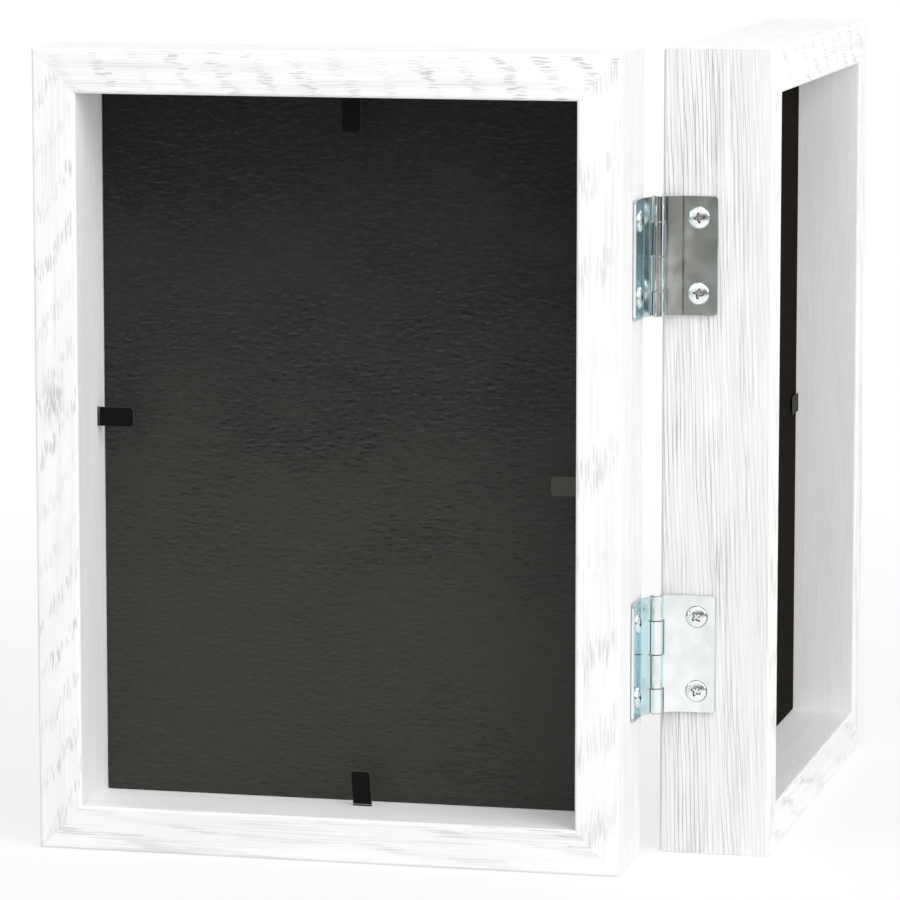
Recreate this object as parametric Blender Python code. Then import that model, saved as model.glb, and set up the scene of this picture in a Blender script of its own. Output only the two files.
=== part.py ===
"""Double photo frame: two deep rebated wooden frames joined by two butt hinges, standing at a right angle.

Metres, +Z up. The origin is on the ground, in the middle of the object's plan.
The right frame (seen from the picture side) runs along +X from the hinge axis and its picture faces -Y.
The left frame runs along -Y from the hinge axis and its picture faces +X.
"""

import math

import bmesh
import bpy
from mathutils import Matrix, Vector

# Recess and moulding
opening_width = 0.210
opening_height = 0.297
border = 0.0185
frame_depth = 0.046
lip_width = 0.006
lip_thickness = 0.004
edge_round = 0.0014
mitre_gap = 0.0002

# Gaps between pieces that touch
fit_gap = 0.0003
sheet_clearance = 0.0005

# Sheets, from the lip to the rear
glazing_thickness = 0.002
sheet_thickness = 0.0004
board_thickness = 0.002

# The left frame's board stands further back, on a spacer of black card behind the sheet
spacer_thickness = 0.0086
spacer_width = 0.006

# Flexible tabs
tab_width = 0.008
tab_length = 0.015
tab_thickness = 0.0005
tab_corner = 0.0015
tab_embed = 0.009
tab_axis_stand = 0.0008
raised_tab_lift = math.radians(12)

# Where each tab sits along its wall, from the wall's middle towards the hinge or towards the top
right_tab_offsets = {"top": 0.005, "bottom": 0.009, "outer": 0.012, "hinge": -0.011}
left_tab_offsets = {"top": 0.004, "bottom": -0.006, "outer": -0.006, "hinge": 0.010}

# V-nails
nail_arm = 0.010
nail_thickness = 0.0006
nail_depth = 0.010
nail_inset = 0.0068
nail_sink = 0.0002

# Hinges
hinge_length = 0.049
hinge_inset = 0.0843
barrel_radius = 0.0029
leaf_thickness = 0.0012
leaf_width = 0.024
leaf_corner = 0.0015
crank_height = 0.0026
crank_start = 0.0035
crank_end = 0.0095
crank_bend = 0.0012
notch_clearance = 0.0006
knuckle_gap = 0.0004
front_gap = 0.0016
knuckle_shares = (0.21, 0.29, 0.29, 0.21)
pin_clearance = 0.0003
pin_head_radius = 0.0022
pin_head_height = 0.0005
roll_gap = 0.0002

# Screws
screw_from_axis = 0.0163
screw_from_end = 0.0089
screw_length = 0.016
screw_head_radius = 0.0043
screw_rim = 0.0005
screw_dome = 0.0008
screw_cone_depth = 0.0010
screw_cone_radius = 0.0029
screw_shank_radius = 0.0016
screw_tip = 0.0025
recess_arm = 0.0019
recess_width = 0.0008
recess_floor_share = 0.45
recess_depth = 0.0013

# How far a cutter runs past what it cuts, and how finely round forms are stepped
overrun = 0.002
round_steps = 3
screw_sides = 16
pilot_sides = 12
roll_steps = 18
pin_sides = 16

# Worked out from the values above
frame_width = opening_width + 2 * border
frame_height = opening_height + 2 * border
glazing_front = lip_thickness + fit_gap
sheet_front = glazing_front + glazing_thickness + fit_gap
board_front = sheet_front + sheet_thickness + fit_gap
spaced_front = board_front + spacer_thickness + fit_gap
tab_plane = spaced_front + board_thickness + fit_gap + tab_thickness / 2
bore_radius = barrel_radius - leaf_thickness
pin_radius = bore_radius - pin_clearance
plate_face = bore_radius + crank_height
side_stand = plate_face + leaf_thickness + fit_gap
front_stand = front_gap / 2
reach = side_stand + frame_width
back = front_stand + frame_depth
hinge_x = -(reach - back) / 2
hinge_y = (reach - back) / 2


def clear_scene():
    for thing in list(bpy.data.objects):
        bpy.data.objects.remove(thing)


def make_material(name, colour, roughness, metallic=0.0, transmission=0.0):
    made = bpy.data.materials.new(name)
    made.use_nodes = True
    shader = made.node_tree.nodes["Principled BSDF"]
    shader.inputs["Base Color"].default_value = (*colour, 1)
    shader.inputs["Roughness"].default_value = roughness
    shader.inputs["Metallic"].default_value = metallic
    shader.inputs["Transmission Weight"].default_value = transmission
    return made


def make_empty(name, place, parent=None):
    """An empty that carries pieces: a frame hangs on the hinge axis, a tongue on its bend."""
    made = bpy.data.objects.new(name, None)
    bpy.context.scene.collection.objects.link(made)
    made.location = place
    made.parent = parent
    return made


def make_object(name, mesh, material, parent, smooth=False):
    """An object from a bmesh whose faces are turned outwards first."""
    bmesh.ops.recalc_face_normals(mesh, faces=mesh.faces)
    data = bpy.data.meshes.new(name)
    mesh.to_mesh(data)
    mesh.free()
    made = bpy.data.objects.new(name, data)
    bpy.context.scene.collection.objects.link(made)
    made.parent = parent
    if material:
        data.materials.append(material)
    if smooth:
        data.shade_smooth()
        data.set_sharp_from_angle(angle=math.radians(35))
    return made


def make_cutter(name, mesh, parent):
    made = make_object(name, mesh, None, parent)
    made.hide_render = True
    made.display_type = "WIRE"
    return made


def cut(target, cutter):
    modifier = target.modifiers.new(cutter.name, "BOOLEAN")
    modifier.operation = "DIFFERENCE"
    modifier.solver = "EXACT"
    modifier.object = cutter


def right_point(u, v, z):
    """A point of the right frame: u from its hinge side, v from its front face, z from the ground."""
    return Vector((side_stand + u, front_stand + v, z))


def left_point(u, v, z):
    """The same point of the left frame, which mirrors the right one about the fold."""
    return Vector((-(front_stand + v), -(side_stand + u), z))


def add_prism(mesh, outline, lower, upper):
    """A closed prism: lower and upper turn each outline point into the corners of its two ends."""
    low = [mesh.verts.new(lower(*point)) for point in outline]
    high = [mesh.verts.new(upper(*point)) for point in outline]
    mesh.faces.new(low)
    mesh.faces.new(high)
    for i in range(len(outline)):
        following = (i + 1) % len(outline)
        mesh.faces.new((low[i], low[following], high[following], high[i]))


def add_box(mesh, place, u_range, v_range, z_range):
    (near, far), (front, rear), (low, high) = u_range, v_range, z_range
    outline = ((near, front), (far, front), (far, rear), (near, rear))
    add_prism(mesh, outline, lambda u, v: place(u, v, low), lambda u, v: place(u, v, high))


def rounded(corners, steps):
    """An outline with round corners: each corner is (x, y, radius), and radius 0 leaves it sharp."""
    points = []
    for i, (x, y, radius) in enumerate(corners):
        here = Vector((x, y))
        if radius == 0:
            points.append((x, y))
            continue
        before = (Vector(corners[i - 1][:2]) - here).normalized()
        after = (Vector(corners[(i + 1) % len(corners)][:2]) - here).normalized()
        half = before.angle(after) / 2
        centre = here + (before + after).normalized() * (radius / math.sin(half))
        start = here + before * (radius / math.tan(half)) - centre
        turn = math.pi - 2 * half
        if start.x * after.y - start.y * after.x < 0:
            turn = -turn
        for step in range(steps + 1):
            angle = turn * step / steps
            points.append(
                (
                    centre.x + start.x * math.cos(angle) - start.y * math.sin(angle),
                    centre.y + start.x * math.sin(angle) + start.y * math.cos(angle),
                )
            )
    return points


def add_turned(mesh, profile, sides, place):
    """A turned solid: profile runs (radius, height) from axis to axis, place maps (x, y, height)."""
    rings = []
    for radius, height in profile:
        if radius == 0:
            rings.append([mesh.verts.new(place(0, 0, height))])
            continue
        turns = [2 * math.pi * step / sides for step in range(sides)]
        points = [(radius * math.cos(turn), radius * math.sin(turn)) for turn in turns]
        rings.append([mesh.verts.new(place(x, y, height)) for x, y in points])
    for ring, following in zip(rings, rings[1:]):
        for i in range(sides):
            corners = (
                ring[i % len(ring)],
                ring[(i + 1) % len(ring)],
                following[(i + 1) % len(following)],
                following[i % len(following)],
            )
            mesh.faces.new(list(dict.fromkeys(corners)))


# The moulding

def moulding_profile():
    """The moulding's section: distance inwards from the outer face, and depth from the front."""
    inner = border + lip_width
    corners = (
        (0, 0, edge_round),
        (inner, 0, edge_round),
        (inner, lip_thickness, edge_round / 2),
        (border, lip_thickness, 0),
        (border, frame_depth, edge_round),
        (0, frame_depth, edge_round),
    )
    return rounded(corners, round_steps)


def wall_frame(side):
    """Turns (along a wall, inwards from its outer face, depth) into (u, v, z) for one side of the frame."""
    placings = {
        "top": lambda along, inward, depth: (along, depth, frame_height - inward),
        "bottom": lambda along, inward, depth: (along, depth, inward),
        "hinge": lambda along, inward, depth: (inward, depth, along),
        "outer": lambda along, inward, depth: (frame_width - inward, depth, along),
    }
    return placings[side]


def wall_length(side):
    return frame_width if side in ("top", "bottom") else frame_height


def make_rail(name, side, place, material, parent):
    """One mitred length of moulding."""
    to_frame = wall_frame(side)
    length = wall_length(side)
    shortening = mitre_gap / math.sqrt(2)
    mesh = bmesh.new()
    add_prism(
        mesh,
        moulding_profile(),
        lambda inward, depth: place(*to_frame(inward + shortening, inward, depth)),
        lambda inward, depth: place(*to_frame(length - inward - shortening, inward, depth)),
    )
    return make_object(name, mesh, material, parent, smooth=True)


# Sheets in the recess

def make_sheet(name, front, thickness, place, material, parent):
    mesh = bmesh.new()
    add_box(
        mesh,
        place,
        (border + sheet_clearance, frame_width - border - sheet_clearance),
        (front, front + thickness),
        (border + sheet_clearance, frame_height - border - sheet_clearance),
    )
    return make_object(name, mesh, material, parent)


def make_spacer(name, place, material, parent):
    """A ring of card round the edge of the recess, between the sheet and the board."""
    mesh = bmesh.new()
    rings = []
    for inset in (border + sheet_clearance, border + sheet_clearance + spacer_width):
        right, top = frame_width - inset, frame_height - inset
        corners = ((inset, inset), (right, inset), (right, top), (inset, top))
        for depth in (board_front, board_front + spacer_thickness):
            rings.append([mesh.verts.new(place(u, depth, z)) for u, z in corners])
    outer_front, outer_rear, inner_front, inner_rear = rings
    around = (outer_front, outer_rear, inner_rear, inner_front)
    for first, second in zip(around, around[1:] + around[:1]):
        for i in range(4):
            following = (i + 1) % 4
            mesh.faces.new((first[i], first[following], second[following], second[i]))
    return make_object(name, mesh, material, parent)


# Tabs

def tab_middle(side, offsets):
    """Distance along the wall of a tab's middle. Offsets run towards the hinge, or towards the top."""
    if side in ("top", "bottom"):
        return frame_width / 2 - offsets[side]
    return frame_height / 2 + offsets[side]


def make_tab(prefix, side, offsets, lift, place, materials, parent, wall):
    """The anchor in the recess wall, its slot, and the tongue on an empty at the bend."""
    to_frame = wall_frame(side)
    middle = tab_middle(side, offsets)
    half = tab_width / 2
    front = tab_plane - tab_thickness / 2
    rear = tab_plane + tab_thickness / 2

    def add_strip(mesh, margin, first, last):
        outline = [(middle - half - margin, front - margin), (middle + half + margin, front - margin)]
        outline += [(middle + half + margin, rear + margin), (middle - half - margin, rear + margin)]
        add_prism(
            mesh,
            outline,
            lambda along, depth: place(*to_frame(along, first, depth)),
            lambda along, depth: place(*to_frame(along, last, depth)),
        )

    anchor = bmesh.new()
    bend = border + tab_axis_stand
    add_strip(anchor, 0, border - tab_embed, bend - fit_gap)
    make_object(f"{prefix}_tab_anchor_{side}", anchor, materials["tab"], parent)
    slot = bmesh.new()
    add_strip(slot, fit_gap, border - tab_embed - fit_gap, border + overrun)
    cut(wall, make_cutter(f"{prefix}_tab_slot_{side}", slot, parent))

    axis_point = place(*to_frame(middle, bend, tab_plane))
    along_wall = place(*to_frame(middle + half, bend, tab_plane)) - axis_point
    inwards = place(*to_frame(middle, bend + half, tab_plane)) - axis_point
    rearwards = place(*to_frame(middle, bend, tab_plane + half)) - axis_point
    bend_axis = inwards.cross(rearwards).normalized()
    across = along_wall.normalized()
    outwards = inwards.normalized()
    up = rearwards.normalized()
    axis = make_empty(f"{prefix}_tab_bend_{side}", axis_point, parent)
    axis.rotation_mode = "QUATERNION"
    axis.rotation_quaternion = Matrix.Rotation(lift, 3, bend_axis).to_quaternion()
    tongue = bmesh.new()
    outline = rounded(
        (
            (-half, 0, 0),
            (half, 0, 0),
            (half, tab_length, tab_corner),
            (-half, tab_length, tab_corner),
        ),
        round_steps,
    )
    add_prism(
        tongue,
        outline,
        lambda x, y: across * x + outwards * y - up * (tab_thickness / 2),
        lambda x, y: across * x + outwards * y + up * (tab_thickness / 2),
    )
    make_object(f"{prefix}_tab_{side}", tongue, materials["tab"], axis)


# V-nails

def add_nail(mesh, ends, margin, place, top):
    """An angle of two arms about a mitre: ends says which frame corner it joins."""
    at_outer, at_top = ends
    inner = border - nail_inset
    near = inner - nail_thickness / 2 - margin
    far = inner + nail_thickness / 2 + margin
    tip = inner + nail_arm + margin
    outline = ((near, near), (tip, near), (tip, far), (far, far), (far, tip), (near, tip))

    def corner(depth):
        def turned(x, z):
            u = frame_width - x if at_outer else x
            height = frame_height - z if at_top else z
            return place(u, depth, height)

        return turned

    add_prism(mesh, outline, corner(frame_depth - nail_sink - nail_depth - margin), corner(top))


def make_nail(prefix, ends, rails, place, material, parent):
    """A V-nail across a mitre, and the slot that it makes in both lengths of moulding."""
    at_outer, at_top = ends
    stile = "outer" if at_outer else "hinge"
    rail = "top" if at_top else "bottom"
    nail = bmesh.new()
    add_nail(nail, ends, 0, place, frame_depth - nail_sink)
    make_object(f"{prefix}_v_nail_{rail}_{stile}", nail, material, parent)
    slot = bmesh.new()
    add_nail(slot, ends, fit_gap, place, frame_depth + overrun)
    cutter = make_cutter(f"{prefix}_v_nail_slot_{rail}_{stile}", slot, parent)
    cut(rails[stile], cutter)
    cut(rails[rail], cutter)


# Hinges and their screws

def hinge_centres():
    return {"lower": hinge_inset, "upper": frame_height - hinge_inset}


def screw_heights(centre):
    from_centre = hinge_length / 2 - screw_from_end
    return {"bottom": centre - from_centre, "top": centre + from_centre}


def leaf_profile():
    """The section of a leaf: q along the leaf from the axis, p from the axis towards the wood.

    The plate lies flat on the wood from its free edge to the crank. The crank takes the strip in to
    the barrel, where it rolls round the pin until its end meets the underside of the strip.
    """
    plate_back = plate_face + leaf_thickness
    slope = math.atan(crank_height / (crank_end - crank_start))
    lean = leaf_thickness / 2 * math.tan(slope / 2)
    end = math.acos(bore_radius / barrel_radius) + roll_gap / barrel_radius
    turns = [-(2 * math.pi - end) * step / roll_steps for step in range(roll_steps + 1)]
    outer = [(barrel_radius * math.sin(t), barrel_radius * math.cos(t), 0) for t in turns]
    inner = [(bore_radius * math.sin(t), bore_radius * math.cos(t), 0) for t in reversed(turns)]
    corners = (
        (leaf_width, plate_back, 0),
        (crank_end - lean, plate_back, crank_bend + leaf_thickness),
        (crank_start + lean, barrel_radius, crank_bend),
        *outer,
        *inner,
        (crank_start - lean, bore_radius, crank_bend + leaf_thickness),
        (crank_end + lean, plate_face, crank_bend),
        (leaf_width, plate_face, 0),
    )
    return rounded(corners, round_steps)


def knuckle_spans(centre):
    """Lowest and highest point of each knuckle, from the top down."""
    spans = []
    top = centre + hinge_length / 2
    for share in knuckle_shares:
        spans.append((top - share * hinge_length, top))
        top -= share * hinge_length
    return spans


def make_leaf(name, centre, own, place, material, parent):
    """A leaf with its own knuckles, notches for the other leaf's, and two countersunk holes."""
    low = centre - hinge_length / 2
    high = centre + hinge_length / 2

    def at(q, p, z):
        return place(p - side_stand, q - front_stand, z)

    mesh = bmesh.new()
    add_prism(mesh, leaf_profile(), lambda q, p: at(q, p, low), lambda q, p: at(q, p, high))
    free_corners = []
    for z in (low, high):
        middle = at(leaf_width, plate_face + leaf_thickness / 2, z)
        free_corners.append(
            min(mesh.edges, key=lambda edge: ((edge.verts[0].co + edge.verts[1].co) / 2 - middle).length)
        )
    bmesh.ops.bevel(
        mesh,
        geom=free_corners,
        offset=leaf_corner,
        segments=round_steps,
        affect="EDGES",
        profile=0.5,
    )
    leaf = make_object(name, mesh, material, parent, smooth=True)

    notches = bmesh.new()
    for i, (bottom, top) in enumerate(knuckle_spans(centre)):
        if i in own:
            continue
        below = overrun if i == len(knuckle_shares) - 1 else knuckle_gap / 2
        above = overrun if i == 0 else knuckle_gap / 2
        margin = barrel_radius + notch_clearance
        add_box(notches, at, (-margin, margin), (-margin, margin), (bottom - below, top + above))
    cut(leaf, make_cutter(f"{name}_notches", notches, parent))

    holes = bmesh.new()
    for height in screw_heights(centre).values():
        profile = (
            (0, screw_cone_depth + leaf_thickness),
            (screw_cone_radius + fit_gap, screw_cone_depth + leaf_thickness),
            (screw_cone_radius + fit_gap, screw_cone_depth),
            (screw_head_radius + fit_gap, 0),
            (screw_head_radius + fit_gap, -overrun),
            (0, -overrun),
        )
        add_turned(holes, profile, screw_sides, screw_placing(height, place))
    cut(leaf, make_cutter(f"{name}_holes", holes, parent))
    return leaf


def screw_placing(height, place):
    """Maps a screw's own (x, y, depth) into its frame: depth runs into the wood from the plate's face."""
    return lambda x, y, depth: place(
        plate_face + depth - side_stand,
        screw_from_axis + x - front_stand,
        height + y,
    )


def screw_profile():
    """A raised countersunk head, a plain shank and a point, from the tip to the top of the head."""
    dome_radius = (screw_head_radius**2 + screw_dome**2) / (2 * screw_dome)
    span = math.asin(screw_head_radius / dome_radius)
    dome = []
    for step in range(round_steps):
        angle = span * (1 - step / round_steps)
        rise = dome_radius * (math.cos(angle) - math.cos(span))
        dome.append((dome_radius * math.sin(angle), -screw_rim - rise))
    return (
        (0, screw_length),
        (screw_shank_radius, screw_length - screw_tip),
        (screw_shank_radius, screw_cone_depth),
        (screw_cone_radius, screw_cone_depth),
        (screw_head_radius, 0),
        *dome,
        (0, -screw_rim - screw_dome),
    )


def make_screw(name, height, place, stile, material, parent):
    to_frame = screw_placing(height, place)
    mesh = bmesh.new()
    add_turned(mesh, screw_profile(), screw_sides, to_frame)
    screw = make_object(name, mesh, material, parent, smooth=True)

    top = -screw_rim - screw_dome
    for label, along_x in (("flat", True), ("upright", False)):
        arm = bmesh.new()
        half = recess_width / 2
        outline = ((-recess_arm, -half), (recess_arm, -half), (recess_arm, half), (-recess_arm, half))

        def level(share, depth):
            def placed(x, y):
                x = x * share
                return to_frame(x, y, depth) if along_x else to_frame(y, x, depth)

            return placed

        add_prism(arm, outline, level(1, top - overrun), level(recess_floor_share, top + recess_depth))
        cut(screw, make_cutter(f"{name}_recess_{label}", arm, parent))

    pilot = bmesh.new()
    profile = (
        (0, leaf_thickness),
        (screw_shank_radius + fit_gap, leaf_thickness),
        (screw_shank_radius + fit_gap, screw_length + fit_gap),
        (0, screw_length + fit_gap),
    )
    add_turned(pilot, profile, pilot_sides, to_frame)
    cut(stile, make_cutter(f"{name}_pilot", pilot, parent))
    return screw


def make_pin(name, centre, material, parent):
    """The hinge pin, with its two ends headed over the outer knuckles."""
    low = centre - hinge_length / 2 - fit_gap
    high = centre + hinge_length / 2 + fit_gap
    profile = (
        (0, low - pin_head_height),
        (pin_head_radius, low - pin_head_height),
        (pin_head_radius, low),
        (pin_radius, low),
        (pin_radius, high),
        (pin_head_radius, high),
        (pin_head_radius, high + pin_head_height),
        (0, high + pin_head_height),
    )
    mesh = bmesh.new()
    add_turned(mesh, profile, pin_sides, lambda x, y, z: Vector((x, y, z)))
    return make_object(name, mesh, material, parent, smooth=True)


def make_frame(prefix, place, offsets, board_place, lifts, materials, parent):
    """One frame with everything in it. board_place is the depth of the board's front face."""
    rail_names = {
        "top": "top_rail",
        "bottom": "bottom_rail",
        "outer": "outer_stile",
        "hinge": "hinge_stile",
    }
    rails = {
        side: make_rail(f"{prefix}_{name}", side, place, materials["wood"], parent)
        for side, name in rail_names.items()
    }
    make_sheet(f"{prefix}_glazing", glazing_front, glazing_thickness, place, materials["glazing"], parent)
    make_sheet(f"{prefix}_insert_sheet", sheet_front, sheet_thickness, place, materials["paper"], parent)
    make_sheet(f"{prefix}_backing_board", board_place, board_thickness, place, materials["board"], parent)
    if board_place > board_front:
        make_spacer(f"{prefix}_spacer", place, materials["board"], parent)
    for side, wall in rails.items():
        make_tab(prefix, side, offsets, lifts.get(side, 0), place, materials, parent, wall)
    for at_outer in (False, True):
        for at_top in (False, True):
            make_nail(prefix, (at_outer, at_top), rails, place, materials["steel"], parent)
    return rails


def make_materials():
    return {
        "wood": make_material("whitewashed_wood", (0.86, 0.86, 0.85), 0.6),
        "board": make_material("black_board", (0.02, 0.02, 0.018), 0.75),
        "glazing": make_material("clear_glazing", (0.95, 0.97, 0.96), 0.05, transmission=0.9),
        "paper": make_material("blank_sheet", (0.85, 0.84, 0.81), 0.8),
        "tab": make_material("black_tab", (0.012, 0.012, 0.012), 0.45, metallic=0.3),
        "zinc": make_material("zinc_plate", (0.62, 0.66, 0.66), 0.25, metallic=1.0),
        "screw": make_material("screw_zinc", (0.75, 0.77, 0.76), 0.22, metallic=1.0),
        "steel": make_material("nail_steel", (0.45, 0.45, 0.46), 0.4, metallic=1.0),
    }


def build():
    clear_scene()
    materials = make_materials()
    axis = (hinge_x, hinge_y, 0)
    right_axis = make_empty("right_frame_axis", axis)
    left_axis = make_empty("left_frame_axis", axis)
    lifts = {"bottom": raised_tab_lift}
    right_rails = make_frame(
        "right", right_point, right_tab_offsets, board_front, lifts, materials, right_axis
    )
    left_rails = make_frame("left", left_point, left_tab_offsets, spaced_front, {}, materials, left_axis)
    sides = (
        ("right", right_point, (1, 3), right_rails, right_axis),
        ("left", left_point, (0, 2), left_rails, left_axis),
    )
    for level, centre in hinge_centres().items():
        for side, place, own, rails, parent in sides:
            make_leaf(f"{level}_hinge_{side}_leaf", centre, own, place, materials["zinc"], parent)
            for end, height in screw_heights(centre).items():
                name = f"{level}_{side}_screw_{end}"
                make_screw(name, height, place, rails["hinge"], materials["screw"], parent)
        make_pin(f"{level}_hinge_pin", centre, materials["screw"], right_axis)


build()
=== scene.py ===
"""A double photo frame, dressed: two whitewashed frames joined by two cranked hinges, seen from behind.

Metres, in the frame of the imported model. The sizes repeat those that the solids were made with.
"""

import math

import bmesh
import bpy
from mathutils import Matrix, Vector, noise


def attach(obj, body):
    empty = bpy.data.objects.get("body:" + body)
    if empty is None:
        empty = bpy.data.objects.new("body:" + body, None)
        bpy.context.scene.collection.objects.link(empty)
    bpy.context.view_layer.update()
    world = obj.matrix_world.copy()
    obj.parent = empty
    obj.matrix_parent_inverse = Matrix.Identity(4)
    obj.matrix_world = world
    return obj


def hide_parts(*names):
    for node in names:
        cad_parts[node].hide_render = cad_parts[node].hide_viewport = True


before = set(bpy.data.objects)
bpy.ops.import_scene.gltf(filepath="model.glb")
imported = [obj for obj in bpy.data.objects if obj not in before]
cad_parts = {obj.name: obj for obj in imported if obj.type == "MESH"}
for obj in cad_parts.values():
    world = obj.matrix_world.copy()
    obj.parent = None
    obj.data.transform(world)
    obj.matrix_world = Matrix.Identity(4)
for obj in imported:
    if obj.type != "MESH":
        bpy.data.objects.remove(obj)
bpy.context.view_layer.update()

# Recess, moulding and sheets
opening_width = 0.210
opening_height = 0.297
border = 0.0185
frame_depth = 0.046
lip_width = 0.006
lip_thickness = 0.004
edge_round = 0.0014
sheet_clearance = 0.0005
board_thickness = 0.002

# Depth of the boards' front faces. The left frame's board stands on a spacer
right_board_place = 0.0073
left_board_place = 0.0162

# Flexible tabs, at the same depth in both frames
tab_plane = 0.01875
tab_width = 0.008
tab_length = 0.015
tab_thickness = 0.0005
tab_corner = 0.0015
tab_axis_stand = 0.0008
raised_tab_lift = math.radians(12)
right_tab_offsets = {"top": 0.005, "bottom": 0.009, "outer": 0.012, "hinge": -0.011}
left_tab_offsets = {"top": 0.004, "bottom": -0.006, "outer": -0.006, "hinge": 0.010}

# The one V-nail whose slot was left unfilled
nail_arm = 0.010
nail_thickness = 0.0006
nail_depth = 0.010
nail_inset = 0.0068
nail_clearance = 0.00002

# Hinges
hinge_length = 0.049
hinge_inset = 0.0843
barrel_radius = 0.0029
leaf_thickness = 0.0012
leaf_width = 0.024
leaf_corner = 0.0015
crank_height = 0.0026
crank_start = 0.0035
crank_end = 0.0095
crank_bend = 0.0065
knuckle_gap = 0.0004
knuckle_shares = (0.21, 0.29, 0.29, 0.21)
bore_radius = barrel_radius - leaf_thickness
plate_face = bore_radius + crank_height
roll_gap = 0.0002
pin_radius = 0.0014
pin_head_radius = 0.0022
pin_head_height = 0.0005

# Screws
screw_from_axis = 0.0163
screw_from_end = 0.0089
screw_length = 0.016
screw_head_radius = 0.0043
screw_rim = 0.0005
screw_dome = 0.0008
screw_cone_depth = 0.0010
screw_cone_radius = 0.0029
screw_shank_radius = 0.0016
screw_tip = 0.0025
recess_arm = 0.0024
recess_width = 0.0011
recess_depth = 0.0009
recess_floor_arm = recess_arm * 0.72
recess_floor_half = recess_width * 0.28
recess_straight = 0.00005
thread_pitch = 0.0011
thread_depth = 0.0003

# Where a thread's root starts and ends, as shares of its pitch
thread_root = (0.25, 0.75)

# Clearance from the barrel to a leaf's notch, for each knuckle of the other leaf from the top down
notch_clearances = (0.0006, 0.0003, 0.0008, 0.0003)

# How each cross recess is turned, in degrees, as the photograph shows
screw_turns = {
    "upper_left_screw_top": 8,
    "upper_left_screw_bottom": -12,
    "lower_left_screw_top": 40,
    "lower_left_screw_bottom": -24,
    "upper_right_screw_top": 30,
    "upper_right_screw_bottom": 5,
    "lower_right_screw_top": -15,
    "lower_right_screw_bottom": 22,
}

# Fine joints, roundings and unevenness of the pieces
mitre_joint = 0.00003
leaf_edge = 0.00016
tongue_edge = 0.00008
tongue_curl = 0.00035
tongue_crown = 0.00006
pin_head_round = 0.0006
screw_edge = 0.00018
board_rim_drop = 0.0002
board_swell = 0.00010
board_wrinkle = 0.00007
board_sink = 0.00012

# How many swells and wrinkles a board has to the metre, across and up
swells = (22, 30)
wrinkles = (90, 260)

# How far a cutter runs past what it cuts
overrun = 0.002
recess_overrun = 0.0008

# How finely round forms are stepped
round_steps = 6
roll_steps = 48
screw_sides = 64

# The fold's axis, how far the frames' front faces stand from it, and the gap between pieces that meet
hinge_axis = Vector((-0.1030, 0.1030, 0))
front_stand = 0.0008
fit_gap = 0.0003

# Worked out from the values above
frame_width = opening_width + 2 * border
frame_height = opening_height + 2 * border
side_stand = plate_face + leaf_thickness + fit_gap
rear_plane = hinge_axis.y + front_stand + frame_depth
hinge_centres = {"lower": hinge_inset, "upper": frame_height - hinge_inset}
cone_end = screw_cone_depth + leaf_thickness

# The corners of a square, before it is scaled
square = ((-1, -1), (1, -1), (1, 1), (-1, 1))


# Places in the two frames

def right_point(u, v, z):
    """A point of the right frame: u from its hinge side, v from its front face, z from the ground."""
    return hinge_axis + Vector((side_stand + u, front_stand + v, z))


def left_point(u, v, z):
    """The same point of the left frame, which mirrors the right one about the fold."""
    return hinge_axis + Vector((-(front_stand + v), -(side_stand + u), z))


def wall_frame(side):
    """Turns (along a wall, inwards from its outer face, depth) into (u, v, z) for one side of the frame."""
    placings = {
        "top": lambda along, inward, depth: (along, depth, frame_height - inward),
        "bottom": lambda along, inward, depth: (along, depth, inward),
        "hinge": lambda along, inward, depth: (inward, depth, along),
        "outer": lambda along, inward, depth: (frame_width - inward, depth, along),
    }
    return placings[side]


# Nodes of materials

def new_material(name):
    made = bpy.data.materials.new(name)
    made.use_nodes = True
    tree = made.node_tree
    return made, tree, tree.nodes["Principled BSDF"]


def add_node(tree, kind, inputs, **settings):
    """A node with its settings, and each input either joined to a socket or given a value."""
    made = tree.nodes.new(kind)
    for name, value in settings.items():
        setattr(made, name, value)
    for name, value in inputs.items():
        if isinstance(value, bpy.types.NodeSocket):
            tree.links.new(value, made.inputs[name])
        else:
            made.inputs[name].default_value = value
    return made


def calculate(tree, operation, first, second=0.0):
    made = add_node(tree, "ShaderNodeMath", {0: first, 1: second}, operation=operation)
    return made.outputs[0]


def times(tree, first, second):
    return calculate(tree, "MULTIPLY", first, second)


def plus(tree, first, second):
    return calculate(tree, "ADD", first, second)


def minus(tree, first, second):
    return calculate(tree, "SUBTRACT", first, second)


def with_places(tree, operation, first, second=(0, 0, 0)):
    return add_node(tree, "ShaderNodeVectorMath", {0: first, 1: second}, operation=operation).outputs


def split(tree, place):
    return add_node(tree, "ShaderNodeSeparateXYZ", {"Vector": place}).outputs


def soften(tree, value, low, high, start=0.0, end=1.0):
    """A smooth step of value from low to high."""
    inputs = {"Value": value, "From Min": low, "From Max": high, "To Min": start, "To Max": end}
    made = add_node(tree, "ShaderNodeMapRange", inputs, interpolation_type="SMOOTHSTEP")
    return made.outputs["Result"]


def stretch(tree, place, sizes):
    """Coordinates in which a feature of the given sizes in metres is one unit long."""
    scales = tuple(1 / size for size in sizes)
    return with_places(tree, "MULTIPLY", place, scales)[0]


def grain_noise(tree, place, sizes, detail=2.0, roughness=0.5):
    inputs = {"Vector": stretch(tree, place, sizes), "Scale": 1.0, "Detail": detail, "Roughness": roughness}
    return add_node(tree, "ShaderNodeTexNoise", inputs).outputs["Fac"]


def mix_colours(tree, share, first, second):
    """A mix of two colours. Its sockets go by number, because their names stand for several kinds."""
    inputs = {0: share, 6: first, 7: second}
    return add_node(tree, "ShaderNodeMix", inputs, data_type="RGBA").outputs[2]


def own_place(tree, shift=(0, 0, 0)):
    """The object's own coordinates, moved by a shift."""
    place = add_node(tree, "ShaderNodeTexCoord", {}).outputs["Object"]
    return with_places(tree, "ADD", place, shift)[0]


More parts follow.
